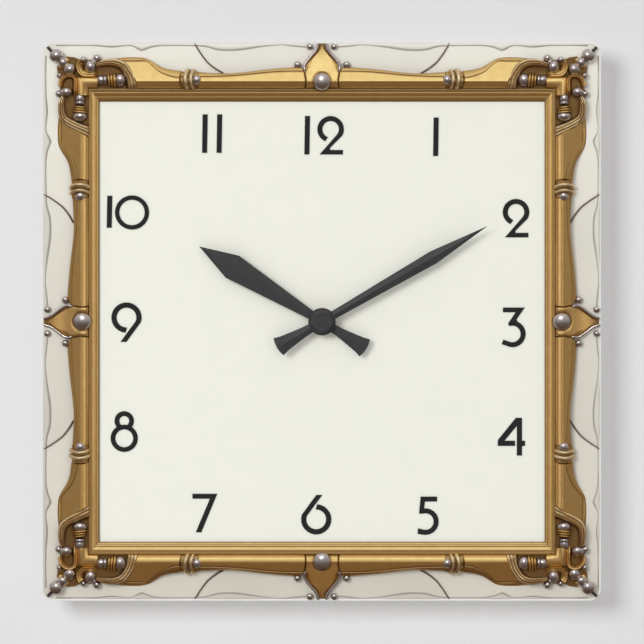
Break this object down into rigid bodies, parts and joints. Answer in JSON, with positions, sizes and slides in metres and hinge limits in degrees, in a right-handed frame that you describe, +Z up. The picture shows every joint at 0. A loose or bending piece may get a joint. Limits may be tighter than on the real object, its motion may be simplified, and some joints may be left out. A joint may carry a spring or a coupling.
{
  "type": "wall clock",
  "caption": "Square quartz wall clock with an ivory panel, gold and silver relief frame, black numerals and two charcoal hands.",
  "frame": {"origin": "centre of the hanging hole where it meets the wall", "axes": "+Z up, the dial faces -Y, and +Y points into the wall along the hanging hole"},
  "size_m": [0.273, 0.0313, 0.273],
  "materials": {
    "ivory_panel": "satin ivory lacquer",
    "dial_white": "satin near-white",
    "gold_trim": "cast resin, gilded",
    "pale_gold_trim": "cast resin, pale gilding",
    "silver_trim": "cast resin, silvered",
    "dark_wire": "dark oxidised wire",
    "numeral_black": "black, satin",
    "hand_charcoal": "charcoal coated sheet",
    "brass": "turned brass",
    "steel": "plain stamped steel",
    "magnet": "dark sintered magnet",
    "gasket_rubber": "matt black",
    "case_plastic": "fine moulded grain",
    "wheel_plastic": "moulded acetal",
    "amber_plastic": "moulded acetal",
    "cell_sleeve": "printed sleeve",
    "board_green": "solder mask",
    "copper_wire": "enamelled copper wire"
  },
  "bodies": {
    "clock_body": {"back_panel": "ivory_panel", "border_lip": "ivory_panel", "dial_plate": "dial_white", "inner_moulding_top": "gold_trim", "inner_moulding_right": "gold_trim", "inner_moulding_bottom": "gold_trim", "inner_moulding_left": "gold_trim", "rail_top": "gold_trim", "rail_right": "gold_trim", "rail_bottom": "gold_trim", "rail_left": "gold_trim", "palmette_top": "gold_trim", "palmette_right": "gold_trim", "palmette_bottom": "gold_trim", "palmette_left": "gold_trim", "baluster_rings": "gold_trim", "corner_plate_top_right": "gold_trim", "corner_plate_bottom_right": "gold_trim", "corner_plate_bottom_left": "gold_trim", "corner_plate_top_left": "gold_trim", "rail_collars": "pale_gold_trim", "hood_ribs": "pale_gold_trim", "palmette_rims": "silver_trim", "big_beads": "silver_trim", "small_beads": "silver_trim", "rail_beads": "silver_trim", "baluster_collars": "silver_trim", "corner_knobs": "silver_trim", "corner_finials": "silver_trim", "dark_wires": "dark_wire", "numerals": "numeral_black", "fixing_washer": "brass", "fixing_nut": "brass", "hanger": "steel", "battery_contacts": "steel", "quartz_crystal": "steel", "stator": "steel", "gasket": "gasket_rubber", "movement_case": "case_plastic", "rear_cover": "case_plastic", "middle_plate": "wheel_plastic", "coil_bobbin": "wheel_plastic", "battery_cell": "cell_sleeve", "circuit_board": "board_green", "coil_winding": "copper_wire"},
    "minute_set": {"minute_arbor": "steel", "minute_hand": "hand_charcoal", "minute_hand_bush": "brass", "hand_cap": "hand_charcoal"},
    "hour_set": {"hour_wheel": "wheel_plastic", "hour_hand": "hand_charcoal", "hour_hand_collet": "brass"},
    "motion_wheel": {"motion_wheel": "wheel_plastic"},
    "setting_knob": {"setting_knob": "case_plastic"},
    "centre_wheel": {"centre_wheel": "amber_plastic"},
    "third_wheel": {"third_wheel": "wheel_plastic"},
    "seconds_wheel": {"seconds_wheel": "wheel_plastic"},
    "intermediate_wheel": {"intermediate_wheel": "wheel_plastic"},
    "rotor": {"rotor": "magnet"}
  },
  "joints": [
    {"name": "minute_turn", "type": "hinge", "parent": "clock_body", "child": "minute_set", "pos_m": [0, 0, -0.034], "axis": [0, 1, 0], "continuous": true},
    {"name": "hour_turn", "type": "hinge", "parent": "clock_body", "child": "hour_set", "pos_m": [0, 0, -0.034], "axis": [0, 1, 0], "continuous": true},
    {"name": "motion_turn", "type": "hinge", "parent": "clock_body", "child": "motion_wheel", "pos_m": [-0.00846, 0, -0.03708], "axis": [0, 1, 0], "continuous": true},
    {"name": "knob_turn", "type": "hinge", "parent": "clock_body", "child": "setting_knob", "pos_m": [-0.01625, 0, -0.03258], "axis": [0, 1, 0], "continuous": true},
    {"name": "seconds_turn", "type": "hinge", "parent": "clock_body", "child": "seconds_wheel", "pos_m": [0, 0, -0.034], "axis": [0, 1, 0], "continuous": true},
    {"name": "third_turn", "type": "hinge", "parent": "clock_body", "child": "third_wheel", "pos_m": [0.00846, 0, -0.03092], "axis": [0, 1, 0], "continuous": true},
    {"name": "centre_turn", "type": "hinge", "parent": "clock_body", "child": "centre_wheel", "pos_m": [0, 0, -0.034], "axis": [0, 1, 0], "continuous": true},
    {"name": "intermediate_turn", "type": "hinge", "parent": "clock_body", "child": "intermediate_wheel", "pos_m": [-0.00308, 0, -0.02554], "axis": [0, 1, 0], "continuous": true},
    {"name": "rotor_turn", "type": "hinge", "parent": "clock_body", "child": "rotor", "pos_m": [0.00028, 0, -0.01972], "axis": [0, 1, 0], "continuous": true}
  ],
  "couplings": [
    {"joint": "hour_turn", "follows": "minute_turn", "ratio": 0.083333},
    {"joint": "motion_turn", "follows": "minute_turn", "ratio": -0.33333},
    {"joint": "knob_turn", "follows": "minute_turn", "ratio": 1},
    {"joint": "third_turn", "follows": "seconds_turn", "ratio": -0.13333},
    {"joint": "centre_turn", "follows": "seconds_turn", "ratio": 0.016667},
    {"joint": "intermediate_turn", "follows": "seconds_turn", "ratio": -5},
    {"joint": "rotor_turn", "follows": "seconds_turn", "ratio": 30}
  ]
}
